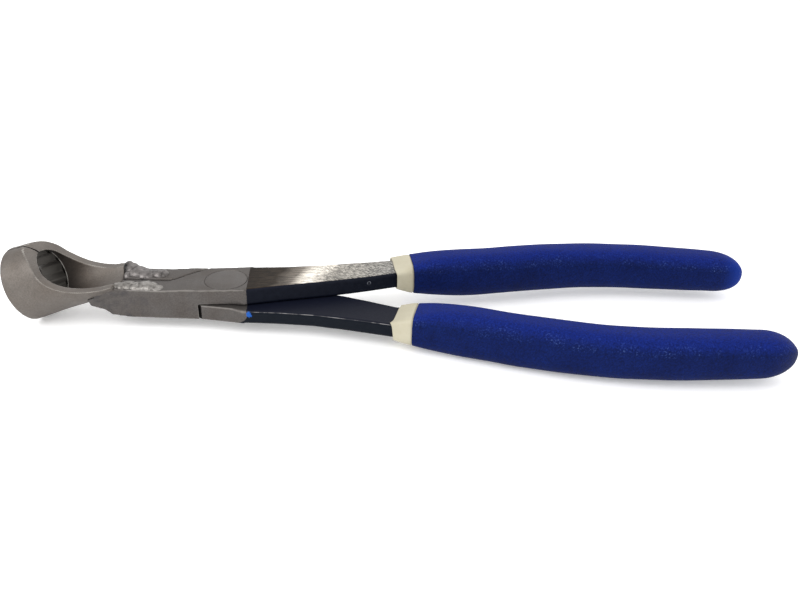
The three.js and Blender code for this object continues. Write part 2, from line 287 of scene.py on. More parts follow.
def mesh_from(points, faces):
    """Mesh with its faces turned outward, and no object left over."""
    thing = outward(object_from(points, faces))
    mesh = thing.data
    bpy.data.objects.remove(thing)
    return mesh


# --- Material helpers ---------------------------------------------------------


class Look:
    """A node material with its object coordinates in millimetres of the row frame."""

    def __init__(self, name):
        self.material = bpy.data.materials.new(name)
        self.material.use_nodes = True
        self.tree = self.material.node_tree
        self.shader = self.tree.nodes["Principled BSDF"]
        coordinates = self.node("ShaderNodeTexCoord")
        mapping = self.node("ShaderNodeMapping")
        mapping.inputs["Scale"].default_value = (1000, 1000, 1000)
        self.join(coordinates.outputs["Object"], mapping.inputs["Vector"])
        self.place = mapping.outputs["Vector"]
        split = self.node("ShaderNodeSeparateXYZ")
        self.join(self.place, split.inputs[0])
        self.x, self.y, self.z = split.outputs
        direction = self.node("ShaderNodeSeparateXYZ")
        self.join(coordinates.outputs["Normal"], direction.inputs[0])
        self.up = direction.outputs[2]

    def node(self, kind, **settings):
        made = self.tree.nodes.new(kind)
        for key, value in settings.items():
            setattr(made, key, value)
        return made

    def join(self, source, target):
        self.tree.links.new(source, target)

    def feed(self, source, target):
        """Joins a socket, or writes a plain number or colour into the target."""
        if isinstance(source, bpy.types.NodeSocket):
            self.join(source, target)
        else:
            target.default_value = source

    def turned(self, degrees, along, across):
        """Coordinates turned about Z and then stretched, for brush marks at an angle."""
        turn = self.node("ShaderNodeMapping", vector_type="TEXTURE")
        turn.inputs["Rotation"].default_value = (0, 0, math.radians(degrees))
        self.join(self.place, turn.inputs["Vector"])
        mapping = self.node("ShaderNodeMapping")
        mapping.inputs["Scale"].default_value = (along, across, along)
        self.join(turn.outputs["Vector"], mapping.inputs["Vector"])
        return mapping.outputs["Vector"]

    def noise(self, scale, detail, rough=0.5, place=None):
        made = self.node("ShaderNodeTexNoise")
        made.inputs["Scale"].default_value = scale
        made.inputs["Detail"].default_value = detail
        made.inputs["Roughness"].default_value = rough
        self.join(place or self.place, made.inputs["Vector"])
        return made.outputs["Fac"]

    def ramp(self, factor, *stops):
        """Colour or grey ramp. Each stop is (place, value or (r, g, b))."""
        made = self.node("ShaderNodeValToRGB")
        band = made.color_ramp
        while len(band.elements) < len(stops):
            band.elements.new(0.5)
        for element, (position, value) in zip(band.elements, stops):
            element.position = position
            colour = value if isinstance(value, tuple) else (value,) * 3
            element.color = (*colour, 1)
        self.join(factor, made.inputs["Fac"])
        return made.outputs["Color"]

    def math(self, operation, one, two=0.0):
        made = self.node("ShaderNodeMath", operation=operation)
        self.feed(one, made.inputs[0])
        self.feed(two, made.inputs[1])
        return made.outputs[0]

    def between(self, value, low, high):
        """0 up to low, 1 from high on, smooth between them. Low may be above high."""
        made = self.node("ShaderNodeMapRange", interpolation_type="SMOOTHSTEP")
        self.feed(value, made.inputs["Value"])
        made.inputs["From Min"].default_value = low
        made.inputs["From Max"].default_value = high
        return made.outputs["Result"]

    def times(self, *factors):
        result = factors[0]
        for factor in factors[1:]:
            result = self.math("MULTIPLY", result, factor)
        return result

    def mix(self, factor, one, two, blend="MIX"):
        made = self.node("ShaderNodeMix", data_type="RGBA", blend_type=blend)
        self.feed(factor, made.inputs["Factor"])
        for value, socket in ((one, made.inputs["A"]), (two, made.inputs["B"])):
            self.feed((*value, 1) if isinstance(value, tuple) else value, socket)
        return made.outputs["Result"]

    def attribute(self, name):
        return self.node("ShaderNodeAttribute", attribute_name=name).outputs["Fac"]

    def bump(self, height, distance, strength, under=None):
        """Relief of a depth in millimetres, laid over another relief if there is one."""
        made = self.node("ShaderNodeBump")
        made.inputs["Strength"].default_value = strength
        made.inputs["Distance"].default_value = distance * MM
        self.join(height, made.inputs["Height"])
        if under:
            self.join(under, made.inputs["Normal"])
        return made.outputs["Normal"]

    def set(self, **sockets):
        names = {
            "colour": "Base Color",
            "metal": "Metallic",
            "roughness": "Roughness",
            "specular": "Specular IOR Level",
            "normal": "Normal",
        }
        for key, value in sockets.items():
            value = (*value, 1) if isinstance(value, tuple) else value
            self.feed(value, self.shader.inputs[names[key]])


def mottled_steel(look, shade=(1.0, 1.0, 1.0)):
    """Bare steel with a fine blasted grain, clouds and stains: colour, roughness, relief."""
    cloud = look.noise(0.09, 5, 0.6)
    stain = look.noise(0.35, 4, 0.65)
    grain = look.noise(1.9, 3, 0.65)
    base = look.ramp(cloud, (0.3, (0.125, 0.107, 0.093)), (0.7, (0.158, 0.143, 0.13)))
    worn = look.mix(look.ramp(stain, (0.52, 0.0), (0.75, 0.35)), base, (0.1, 0.09, 0.084))
    speck = look.ramp(grain, (0.3, 0.78), (0.7, 1.22))
    colour = look.mix(1.0, worn, speck, "MULTIPLY")
    colour = look.mix(1.0, colour, shade, "MULTIPLY")
    roughness = look.ramp(grain, (0.3, 0.48), (0.7, 0.62))
    normal = look.bump(grain, 0.05, 0.35)
    normal = look.bump(stain, 0.12, 0.25, normal)
    return colour, roughness, normal


# Colour of painted edge highlights; on the cup's window edges it is partly worn steel too
BRIGHT_EDGE = (0.42, 0.4, 0.37)
# Dark of the real seams, also used as painted shade in the welds' creases
DARK_SEAM_AND_SHADE = (0.008, 0.007, 0.007)
LEVER_SHADE = (0.7, 0.72, 0.76)


def line_at(look, name, half_width):
    """1 where an attribute crosses 0, fading out over half a line's width."""
    away = look.math("ABSOLUTE", look.attribute(name))
    return look.between(away, half_width, half_width * 0.3)


def cup_look():
    """Blasted steel with bright window edges, partly worn and partly painted highlight, painted
    shade inside, a painted highlight along the step behind the teeth, and a dark seam on top.
    """
    look = Look("cup_steel")
    colour, roughness, normal = mottled_steel(look)
    # Painted shade: the inner wall is darkened by the inside mark, down to a deep brown-grey
    inside = look.attribute("inside")
    shade = look.ramp(inside, (0.0, 1.0), (0.5, (0.6, 0.56, 0.53)), (1.0, (0.15, 0.13, 0.12)))
    colour = look.mix(1.0, colour, shade, "MULTIPLY")
    # Bright lines on the window's outer and inner edges: partly worn steel, partly painted highlight
    broken = look.ramp(look.noise(0.3, 3), (0.35, 0.15), (0.6, 1.0))
    line = look.math("MAXIMUM", line_at(look, "lip", 0.22), line_at(look, "rim", 0.22))
    colour = look.mix(look.times(line, broken, 0.6), colour, BRIGHT_EDGE)
    # Painted highlight along the step behind the toothed band
    step = look.math("MULTIPLY", line_at(look, "step", 0.3), 0.6)
    colour = look.mix(step, colour, BRIGHT_EDGE)
    ragged = look.math("MULTIPLY", look.math("SUBTRACT", look.noise(0.9, 3), 0.5), 0.5)
    seam = look.between(look.math("ADD", look.attribute("seam"), ragged), 0.42, 0.2)
    colour = look.mix(seam, colour, DARK_SEAM_AND_SHADE)
    look.set(colour=colour, metal=0.75, roughness=roughness, normal=normal)
    return look.material


def rivet_look():
    """The same steel as the joint round it, so that only its edge shows."""
    look = Look("rivet_steel")
    colour, roughness, normal = mottled_steel(look, LEVER_SHADE)
    look.set(colour=colour, metal=0.75, roughness=roughness, normal=normal)
    return look.material


def band_look():
    """Darker, smoother steel with painted highlights on its edges."""
    look = Look("toothed_steel")
    grain = look.noise(1.8, 3, 0.6)
    colour = look.ramp(grain, (0.3, (0.008, 0.007, 0.006)), (0.7, (0.018, 0.0165, 0.014)))
    # Painted highlight on the teeth's sharp edges
    edge = look.between(look.attribute("edge"), 0.3, 0.9)
    colour = look.mix(look.math("MULTIPLY", edge, 0.4), colour, (0.13, 0.12, 0.11))
    roughness = look.ramp(grain, (0.3, 0.4), (0.7, 0.52))
    normal = look.bump(grain, 0.05, 0.3)
    look.set(colour=colour, metal=0.5, roughness=roughness, normal=normal, specular=0.1)
    return look.material


def paint_colour(look):
    """Dark paint with painted light on its top, and pale specks: colour, and the grain under it."""
    dust = look.noise(0.5, 5, 0.65)
    grain = look.noise(2.2, 3, 0.6)
    base = look.ramp(dust, (0.35, (0.0012, 0.0022, 0.0066)), (0.75, (0.0038, 0.0055, 0.0115)))
    # Painted light: the paint is lighter where it faces up
    top_light = look.between(look.up, 0.3, 0.9)
    base = look.mix(look.math("MULTIPLY", top_light, 0.5), base, (0.0065, 0.0075, 0.0165))
    fleck = look.ramp(grain, (0.62, 0.0), (0.8, 0.12))
    colour = look.mix(fleck, base, (0.07, 0.075, 0.085))
    return colour, grain


# The ground face's painted reflection runs along this length, slanting with this slope across it
GROUND_LENGTH = 64
GROUND_SLOPE = -0.25


def ground_face(look):
    """Ground steel with a painted reflection, dark brown near the joint, partly a real tint, and
    brightest halfway: colour, marks and shine.
    """
    fine = look.noise(1.0, 4, 0.7, look.turned(8, 0.22, 5.5))
    swirl = look.noise(1.0, 5, 0.75, look.turned(24, 0.5, 3.2))
    crossed = look.noise(1.0, 4, 0.7, look.turned(-35, 0.7, 2.6))
    near_grip = look.between(look.x, 26, 48)
    coarse = look.ramp(look.mix(0.5, swirl, crossed), (0.36, 0.1), (0.64, 0.9))
    marks = look.mix(near_grip, fine, coarse)
    wander = look.math("MULTIPLY", look.noise(0.12, 3), 8)
    along = look.math("ADD", look.x, wander)
    along = look.math("ADD", along, look.math("MULTIPLY", look.y, GROUND_SLOPE))
    share = look.math("DIVIDE", along, GROUND_LENGTH)
    # Painted reflection along the face: dark brown near the joint, partly a real brown tint, a
    # painted bright band halfway, then paler grey
    tone = look.ramp(
        share,
        (0.1, (0.012, 0.0082, 0.006)),
        (0.33, (0.026, 0.02, 0.015)),
        (0.44, (0.15, 0.13, 0.11)),
        (0.5, (0.52, 0.48, 0.42)),
        (0.54, (0.68, 0.63, 0.56)),
        (0.65, (0.23, 0.215, 0.19)),
        (1.0, (0.17, 0.165, 0.155)),
    )
    streaks = look.ramp(marks, (0.38, 0.3), (0.5, 0.9), (0.62, 2.1))
    shine = look.ramp(share, (0.32, 0.06), (0.46, 0.85))
    return look.mix(1.0, tone, streaks, "MULTIPLY"), marks, shine


# The paint's edge: where it crosses the middle line, how it slants, and the height above
# the joint's underside below which it curves forward on the left handle
PAINT_START_X = 8.4
PAINT_SLANT = -0.107
ROUNDED_BELOW_Z = 3.5


def painted_share(look, rounded):
    """0 on the bare joint and 1 on the handle, with a slightly ragged slanted edge."""
    ragged = look.math("MULTIPLY", look.noise(1.1, 3), 0.5)
    along = look.math("ADD", look.x, ragged)
    level = look.math("MULTIPLY", look.y, -PAINT_SLANT)
    along = look.math("ADD", along, level)
    if rounded:
        low = look.math("MAXIMUM", look.math("SUBTRACT", ROUNDED_BELOW_Z, look.z), 0.0)
        along = look.math("ADD", along, look.times(low, low, 0.28))
    return look.between(along, PAINT_START_X - 0.12, PAINT_START_X + 0.12)


# A small pit in the right handle's inner side: x, y and height
DIMPLE = (52.5, 5.2, 3.6)
DIMPLE_RADIUS = 0.55
# The ground face fades in between these heights above the joint's underside
GROUND_FADE = (11.45, 11.6)


def lever_look(name, ground, ridge, smudge):
    """Bare joint and painted handle, with painted edge highlights, painted light on the paint's top,
    a ground top face with a painted reflection, a ridge line of worn paint and painted highlight
    over a painted shaded side, or a smudge.
    """
    look = Look(name)
    colour, roughness, normal = mottled_steel(look, LEVER_SHADE)
    paint, grain = paint_colour(look)
    share = painted_share(look, rounded=ridge)
    metal = look.ramp(share, (0.0, 0.75), (1.0, 0.0))
    # Painted highlight along the joint's sharp outer edges
    brightened = look.between(look.attribute("edge"), 0.35, 0.9)
    colour = look.mix(look.math("MULTIPLY", brightened, 0.2), colour, BRIGHT_EDGE)
    smoke = look.times(
        look.ramp(look.noise(0.28, 4, 0.6), (0.48, 0.0), (0.68, 0.45)),
        look.between(look.x, -22, -32),
    )
    colour = look.mix(smoke, colour, (0.045, 0.045, 0.052))
    ragged = look.math("MULTIPLY", look.noise(0.9, 3), 0.6)
    seam = look.between(look.math("ADD", look.attribute("seam"), ragged), 0.65, 0.45)
    colour = look.mix(seam, colour, DARK_SEAM_AND_SHADE)
    broken = look.ramp(look.noise(0.25, 4, 0.7), (0.42, 0.12), (0.58, 1.0))
    if ridge:
        # Painted shade on the outer side face below the ridge
        shaded_side = look.between(look.attribute("ridge"), 0.1, -0.2)
        paint = look.mix(look.math("MULTIPLY", shaded_side, 0.6), paint, (0.001, 0.0034, 0.0072))
        # Pale line along the ridge: partly worn paint, partly painted highlight
        edge = look.times(line_at(look, "ridge", 0.22), broken)
        paint = look.mix(look.math("MULTIPLY", edge, 0.75), paint, (0.3, 0.29, 0.29))
    if smudge:
        stain = look.attribute("smudge")
        ragged = look.between(look.math("ADD", stain, look.noise(1.6, 3)), 0.95, 1.15)
        paint = look.mix(ragged, paint, (0.013, 0.085, 0.36))
    colour = look.mix(share, colour, paint)
    roughness = look.mix(share, roughness, look.ramp(grain, (0.3, 0.42), (0.7, 0.58)))
    specular = 0.09
    if ground:
        face, marks, shine = ground_face(look)
        high = look.between(look.z, *GROUND_FADE)
        top = look.times(share, high, look.between(look.up, 0.85, 0.93))
        colour = look.mix(top, colour, face)
        specular = look.math("SUBTRACT", specular, look.math("MULTIPLY", top, 0.06))
        roughness = look.mix(top, roughness, look.ramp(marks, (0.3, 0.3), (0.7, 0.5)))
        metal = look.mix(top, metal, shine)
        normal = look.bump(look.math("MULTIPLY", marks, top), 0.05, 0.4, normal)
        dimple_x, _, dimple_z = DIMPLE
        off_x = look.math("SUBTRACT", look.x, dimple_x)
        off_z = look.math("SUBTRACT", look.z, dimple_z + JOINT_TOP)
        off = look.math("SQRT", look.math("ADD", look.times(off_x, off_x), look.times(off_z, off_z)))
        # Painted highlight on the pit's rim, on the inner side face only
        ring = look.times(look.between(off, 0.25, 0.45), look.between(off, 0.8, 0.6))
        inner_side = look.times(look.between(look.up, 0.5, 0.3), look.between(look.y, 11, 9))
        colour = look.mix(look.times(ring, inner_side, 0.5), colour, (0.2, 0.21, 0.24))
    look.set(colour=colour, metal=metal, roughness=roughness, normal=normal, specular=specular)
    return look.material


def weld_look(name, low, high):
    """Weld metal with soft lumps, between a darker and a lighter steel, with painted shade in its
    creases.
    """
    look = Look(name)
    lumps = look.noise(0.45, 4, 0.6)
    grain = look.noise(2.6, 3, 0.6)
    colour = look.ramp(lumps, (0.35, low), (0.65, high))
    colour = look.mix(1.0, colour, look.ramp(grain, (0.3, 0.88), (0.7, 1.12)), "MULTIPLY")
    # Painted shade in the bead's creases, darker still under the undercut
    crease = look.between(look.attribute("crease"), 0.15, 0.8)
    undercut = look.between(look.attribute("crease"), 1.1, 1.8)
    crease = look.math("MAXIMUM", look.math("MULTIPLY", crease, 0.45), undercut)
    colour = look.mix(crease, colour, DARK_SEAM_AND_SHADE)
    normal = look.bump(grain, 0.03, 0.2)
    normal = look.bump(look.noise(0.5, 2, 0.5), 0.2, 0.2, normal)
    roughness = look.ramp(grain, (0.3, 0.38), (0.7, 0.5))
    look.set(colour=colour, metal=0.8, roughness=roughness, normal=normal)
    return look.material


def cream_look():
    look = Look("cream_vinyl")
    cloud = look.noise(0.12, 4)
    grain = look.noise(1.8, 3, 0.6)
    colour = look.ramp(cloud, (0.3, (0.385, 0.352, 0.255)), (0.7, (0.435, 0.405, 0.305)))
    dirt = look.ramp(look.noise(0.6, 5, 0.7), (0.55, 0.0), (0.75, 0.25))
    colour = look.mix(dirt, colour, (0.3, 0.265, 0.18))
    normal = look.bump(grain, 0.04, 0.3)
    normal = look.bump(cloud, 0.8, 0.3, normal)
    roughness = look.ramp(grain, (0.3, 0.42), (0.7, 0.55))
    look.set(colour=colour, roughness=roughness, specular=0.4, normal=normal)
    return look.material


def blue_look():
    look = Look("blue_vinyl")
    cloud = look.noise(0.07, 4, 0.6)
    pores = look.noise(0.9, 4, 0.65)
    grain = look.noise(1.7, 4, 0.75)
    colour = look.ramp(cloud, (0.3, (0.0016, 0.0062, 0.048)), (0.7, (0.0025, 0.009, 0.068)))
    # Painted light: the blue is brighter where it faces up
    top_light = look.between(look.up, 0.25, 0.98)
    colour = look.mix(top_light, colour, (0.0034, 0.012, 0.118))
    tone = look.ramp(grain, (0.32, 0.45), (0.68, 1.65))
    colour = look.mix(1.0, colour, tone, "MULTIPLY")
    # Pale specks shown only on the shoulders: partly real specks in the vinyl, partly painted sheen
    # where light grazes the grip
    brightened = look.ramp(look.noise(0.16, 4, 0.65), (0.45, 0.0), (0.65, 1.0))
    shoulder = look.times(look.between(look.up, 0.15, 0.4), look.between(look.up, 0.95, 0.75))
    flecks_and_sheen = look.times(look.ramp(grain, (0.56, 0.0), (0.68, 0.7)), brightened, shoulder)
    colour = look.mix(flecks_and_sheen, colour, (0.07, 0.12, 0.26))
    # Painted glow at the right grip's end, as of light coming through the vinyl
    end = look.between(look.attribute("end"), 0.15, 1.0)
    colour = look.mix(look.math("MULTIPLY", end, 0.8), colour, (0.003, 0.026, 0.23))
    normal = look.bump(grain, 0.15, 0.7)
    normal = look.bump(pores, 0.3, 0.4, normal)
    roughness = look.ramp(grain, (0.3, 0.5), (0.7, 0.68))
    look.set(colour=colour, roughness=roughness, specular=0.06, normal=normal)
    return look.material


CUP = cup_look()
BAND = band_look()
BRIGHT_WELD = weld_look("bright_weld", (0.13, 0.12, 0.11), (0.3, 0.285, 0.27))
DULL_WELD = weld_look("dull_weld", (0.085, 0.078, 0.075), (0.19, 0.175, 0.17))
CREAM = cream_look()
BLUE = blue_look()

# --- Dipped grips -------------------------------------------------------------

# Sections of a handle's covering, drawn for the right one: x, y and z of the middle, half
# width, half height, squareness, wall of the blue layer, and how far the section moves
# out and forward on the right handle, and in and back on the left one
SLEEVE_SECTIONS = [
    [62.5, 13.5, 3.05, 7.4, 3.6, 9, 0, 1.5],
    [65, 14.1, 2.8, 7.5, 4.5, 6.5, 0, 1.4],
    [68.8, 15, 2.4, 7.4, 6, 4, 0, 1.2],
]
GRIP_SECTIONS = [
    [69.5, 15.1, 2.4, 7.6, 6.2, 4, 0.6, 1.2],
    [76, 16.4, 2.3, 7.7, 7.6, 3, 1, 1],
    [86, 18.6, 2, 7.8, 8.6, 2.6, 1.6, 0.5],
    [101, 22.3, 1.8, 7.7, 8.7, 2.6, 1.6, 0],
    [116, 26.3, 1.6, 7.8, 8.6, 2.6, 1.6, 0],
    [131, 29.4, 1.3, 8, 8.4, 2.6, 1.6, 0],
    [147, 31.1, 1, 8.3, 8.2, 2.6, 1.6, 0],
    [163, 31.2, 0.7, 8.3, 8, 2.6, 1.6, 0],
    [178, 30.6, 0.4, 8.2, 7.7, 2.6, 1.6, 0],
    [185.76, 30.3, 0.3, 8.1, 7.45, 2.6, 1.6, 0],
]

# The round end: its length, where its tip lies across, and how blunt it is
GRIP_DOME = 13
GRIP_END_Y = 29
DOME_FULLNESS = {LEFT: 1.9, RIGHT: 2.15}
# The right grip gets a painted glow, as of light through the vinyl, brighter from here to its tip
BRIGHT_END_X = 186
BRIGHT_END_LENGTH = 12.5

AROUND = 72
RING_ANGLES = 2 * np.pi * (np.arange(AROUND) + 0.5) / AROUND
# How much of the middle line's slope a section turns with
SKEW = 0.8


def dipped_ring(section, slope, side, inset):
    """Squared oval across the handle, some distance under its outer skin."""
    x, y, z, half_width, half_height, squareness, _, lean = section
    across = np.cos(RING_ANGLES)
    up = np.sin(RING_ANGLES)
    width = (half_width - inset) * np.sign(across) * np.abs(across) ** (2 / squareness)
    height = (half_height - inset) * np.sign(up) * np.abs(up) ** (2 / squareness)
    shift = side * lean
    return np.stack(
        [x - shift - SKEW * slope * width, y + width + shift, z + height],
        axis=1,
    )


def turn_over(points, side):
    """The left handle's pieces are drawn like the right one's and turned over about X."""
    return points * np.array([1, side, side])


def dipped_rings(side, walls, gaps, count=64):
    """Rings of a dipped layer some walls and gaps under the outer skin, with its round end."""
    sections = np.array(GRIP_SECTIONS)
    places = np.linspace(sections[0, 0], sections[-1, 0], count)
    rows = through(sections, places)
    slopes = np.gradient(rows[:, 1], places)
    rings = []
    for row, slope in zip(rows, slopes):
        rings.append(dipped_ring(row, slope, side, walls * row[6] + gaps * GAP))
    last = rows[-1]
    inset = walls * last[6] + gaps * GAP
    fullness = DOME_FULLNESS[side]
    for turn in np.linspace(0, math.pi / 2, 20)[1:]:
        step = math.sin(turn)
        shrink = max(1 - step**fullness, 0.0005) ** (1 / fullness)
        section = last.copy()
        section[0] += step * (GRIP_DOME - inset)
        section[1] += step * (GRIP_END_Y - last[1])
        section[3] = shrink * (last[3] - inset)
        section[4] = shrink * (last[4] - inset)
        rings.append(dipped_ring(section, slopes[-1] * (1 - step), side, 0))
    return rings


def wavy(points, size, depth):
    """Low seeded swellings, as in a layer that dried while it hung."""
    moved = []
    for point in points:
        moved.append(noise.noise_vector(Vector(point / size)))
    return points + depth * np.array(moved)


def rim(inner, outer, forward, steps=5):
    """Rings of a rounded mouth between an inner and an outer ring."""
    rings = []
    for step in range(1, steps):
        turn = math.pi * step / steps
        blend = (1 - math.cos(turn)) / 2
        ring = inner * (1 - blend) + outer * blend
        ring[:, 0] -= forward * math.sin(turn)
        rings.append(ring)
    return rings


def grip_mesh(side):
    """Blue layer, with the end of the right one marked for a painted glow that brightens it."""
    outer = dipped_rings(side, 0, 0)
    inner = dipped_rings(side, 1, 0)
    rings = [*inner[::-1], *rim(inner[0], outer[0], 0.25), *outer]
    points, faces = loft(rings)
    points = wavy(points, 14, 0.22)
    mesh = mesh_from(turn_over(points, side), faces)
    end = np.clip((points_of(mesh)[:, 0] - BRIGHT_END_X) / BRIGHT_END_LENGTH, 0, 1)
    mark(mesh, "end", end if side == RIGHT else 0 * end)
    return mesh


# The steel inside: x, inner and outer edge, low and high face, and how far it moves out
# or in with the covering
TANG_SECTIONS = [
    [62, 6.6, 20.3, 0.15, 6, 1.5],
    [70, 9.5, 20.7, -0.6, 5, 1.2],
    [86, 13.6, 23.2, -1.6, 5, 0.5],
    [116, 22, 30.6, -1.9, 4.7, 0],
    [147, 27, 35.2, -2.5, 4, 0],
    [180, 26.9, 34.3, -2.6, 3.2, 0],
]


def tang_ring(row, side):
    """Rounded rectangle a gap outside the tang, on the same angles as a dipped ring."""
    x, inner, outer, low, high, lean = row
    across = np.cos(RING_ANGLES)
    up = np.sin(RING_ANGLES)
    half_width = (outer - inner) / 2 + GAP
    half_height = (high - low) / 2 + GAP
    width = half_width * np.sign(across) * np.abs(across) ** 0.25
    height = half_height * np.sign(up) * np.abs(up) ** 0.25
    middle = (inner + outer) / 2 + side * lean
    return np.stack([np.full(AROUND, x), middle + width, (low + high) / 2 + height], axis=1)


def mouth_shift(side):
    """How each point round a sleeve's mouth is moved. The right handle's sleeve is shorter on
    its inner side, and the left one's comes forward to a point on its outer top edge."""
    if side == RIGHT:
        back = 0.5 - 0.5 * np.cos(RING_ANGLES)
        return np.stack([back, 0 * back, 0 * back], axis=1)
    corner = RING_ANGLES - math.radians(315)
    near = np.clip(1 - np.abs(corner) / math.radians(60), 0, 1)
    return np.stack([-1.1 * near, 0 * near, -0.6 * near], axis=1)


def sleeve_mesh(side):
    """Cream layer: a visible neck round the handle, and a thinner part under the grip."""
    covered = dipped_rings(side, 1, 1)
    places = np.linspace(SLEEVE_SECTIONS[0][0], SLEEVE_SECTIONS[-1][0], 12)
    first, second = GRIP_SECTIONS[:2]
    slope = (second[1] - first[1]) / (second[0] - first[0])
    neck = [dipped_ring(row, slope, side, 0) for row in through(SLEEVE_SECTIONS, places)]
    for ring, fade in zip(neck, np.linspace(1, 0, len(neck))):
        ring += fade * mouth_shift(side)
    places = np.linspace(TANG_SECTIONS[0][0], TANG_SECTIONS[-1][0], 30)
    cavity = [tang_ring(row, side) for row in through(TANG_SECTIONS, places)]
    centre = neck[0].mean(axis=0)
    mouth = centre + (neck[0] - centre) * np.array([1, 0.93, 0.87])
    cavity[0] = mouth + np.array([0.8, 0, 0])
    rings = [*cavity[::-1], *rim(mouth, neck[0], 0.3), *neck, *covered]
    points, faces = loft(rings)
    points = wavy(points, 9, 0.1)
    return mesh_from(turn_over(points, side), faces)


for side, word in SIDES:
    finished(f"{word}_grip", grip_mesh(side), BLUE, 60)
    finished(f"{word}_handle_sleeve", sleeve_mesh(side), CREAM, 60)

# --- Cup ----------------------------------------------------------------------

# The cup's axis rises toward the joint from the middle of the mouth
CUP_TILT = math.radians(19.5)
MOUTH_X = -75.6
MOUTH_Z = 2
CUP_LENGTH = 36
SEAM_HALF_GAP = 0.1

# The step behind the toothed band, which has a painted highlight along it, and where the trough's
# end is darkened
STEP_BACK = 11.3
DARKENED_END_BACK = 34.4

# Outer and inner wall of the cup: [radius, distance back from the mouth]
OUTER_WALL = [
    [13.35, 0],
    [13.75, 0.15],
    [13.9, 0.5],
    [13.88, 2.5],
    [13.75, 6],
    [13.6, 9.5],
    [13.5, 12],
    [13.5, 22],
    [13.3, CUP_LENGTH],
]
INNER_WALL = [
    [10.5, CUP_LENGTH],
    [10.3, 28],
    [9.8, 19],
    [9.5, 11.6],
    [9.8, 10.8],
    [10.95, 10.7],
    [10.95, 0],
]

# The window cut away from the top: [distance back, height above the axis]
WINDOW_CURVE = [
    [4.6, 14.6],
    [7.9, 13.4],
    [10.6, 11.2],
    [12.6, 7.6],
    [14.2, 3.4],
    [16.6, 0.2],
    [20, -2.7],
    [24.5, -5.1],
    [29, -6.6],
    [33, -7.3],
    [CUP_LENGTH + 2, -7.5],
]
WINDOW_POINTS = 60
ABOVE_CUP = 20


def at_cup(points):
    """From the cup's own frame (x along its axis, z up) to the tool's."""
    back, across, up = points.T
    return np.stack(
        [
            MOUTH_X + back * math.cos(CUP_TILT) - up * math.sin(CUP_TILT),
            across,
            MOUTH_Z + back * math.sin(CUP_TILT) + up * math.cos(CUP_TILT),
        ],
        axis=1,
    )


def cup_ring(profile, segments=180):
    """Profile [radius, distance back] turned about the cup's axis, as a closed ring."""
    turns = 2 * math.pi * np.arange(segments) / segments
    count = len(profile)
    points = [
        [back, radius * math.sin(turn), radius * math.cos(turn)]
        for turn in turns
        for radius, back in profile
    ]
    faces = []
    for step in range(segments):
        beside = (step + 1) % segments
        for point in range(count):
            following = (point + 1) % count
            faces.append(
                (
                    step * count + point,
                    beside * count + point,
                    beside * count + following,
                    step * count + following,
                )
            )
    return outward(object_from(points, faces))


def curve_through(points, count):
    """Smooth curve through plane points, with a number of points on it."""
    points = np.array(points, float)
    run = np.r_[0, np.cumsum(np.linalg.norm(np.diff(points, axis=0), axis=1))]
    rows = through(np.column_stack([run, points]), np.linspace(0, run[-1], count))
    return rows[:, 1:]


def wall_places(points, window):
    """Depth under the outer wall, and distances from the window's outer and inner edges.

    Both distances are above 0 on the walls and below 0 on the lip between them.
    """
    back, across, up = points.T
    away = np.linalg.norm(points[:, None, ::2] - np.array(window)[None], axis=2).min(axis=1)
    outer = np.array(OUTER_WALL[2:])
    inner = np.array(INNER_WALL[3::-1])
    depth = np.interp(back, outer[:, 1], outer[:, 0]) - np.hypot(across, up)
    height = np.hypot(across, up) - np.interp(back, inner[:, 1], inner[:, 0])
    outer_edge = np.where(depth < 1, away - depth, -depth)
    inner_edge = np.where(depth > 1, away - height, -height)
    return depth, outer_edge, inner_edge


def seam_mark(places, rim_line):
    """Distance from the seam, less where its dark line is wider.

    It is wider at the window's front edge and toward the trough's rear, where it also
    moves to the left.
    """
    back, across, _ = places.T
    moved = 0.5 * np.clip((back - 24) / 4, 0, 1)
    narrower = 0.25 * np.clip(back - 14, 0, 1)
    wider = 0.2 * np.clip(1 - np.abs(rim_line) / 2.2, 0, 1) * (back < 14)
    wider += 0.9 * np.clip((back - 25) / 5, 0, 1)
    return np.abs(across + moved) + narrower - wider


def cup_mesh(side):
    outer = curve_through(OUTER_WALL[2:], 40).tolist()
    ring = cup_ring(OUTER_WALL[:2] + outer + INNER_WALL)
    window = curve_through(WINDOW_CURVE, WINDOW_POINTS).tolist()
    window += [[CUP_LENGTH + 2, ABOVE_CUP], [WINDOW_CURVE[0][0], ABOVE_CUP]]
    near, far = sorted((side * SEAM_HALF_GAP, side * 30))
    half = prism([[-10, -30], [60, -30], [60, 30], [-10, 30]], near, far, "y")
    mesh = carved(ring, [prism(window, -20, 20, "y")], [half], voxel=0.26, rounds=5)
    places = points_of(mesh)
    back = places[:, 0]
    depth, lip, rim_line = wall_places(places, window[:WINDOW_POINTS])
    inner = np.clip(rim_line / 0.5, 0, 1) * np.clip((depth - 2) / 0.5, 0, 1)
    mark(mesh, "lip", lip)
    mark(mesh, "rim", rim_line)
    # Painted shade inside the cup: full near the mouth, fading toward the rear, and full again where
    # the trough's end is darkened
    shaded = np.interp(back, [0, 11, 15, 21, 28, 36], [1, 1, 0.8, 0.4, 0.12, 0])
    darkened_end = np.clip((back - DARKENED_END_BACK) / 0.7, 0, 1)
    mark(mesh, "inside", inner * np.maximum(shaded, darkened_end))
    # Marks the step behind the toothed band, for its painted highlight
    mark(mesh, "step", np.where((inner > 0.2) & (places[:, 2] < 6), back - STEP_BACK, 5))
    mark(mesh, "seam", seam_mark(places, rim_line))
    roughened(mesh, 5, 0.06)
    roughened(mesh, 1.2, 0.018)
    set_points(mesh, at_cup(points_of(mesh)))
    return mesh


for side, word in SIDES:
    finished(f"{word}_cup_half", cup_mesh(side), CUP)

# --- Toothed band -------------------------------------------------------------

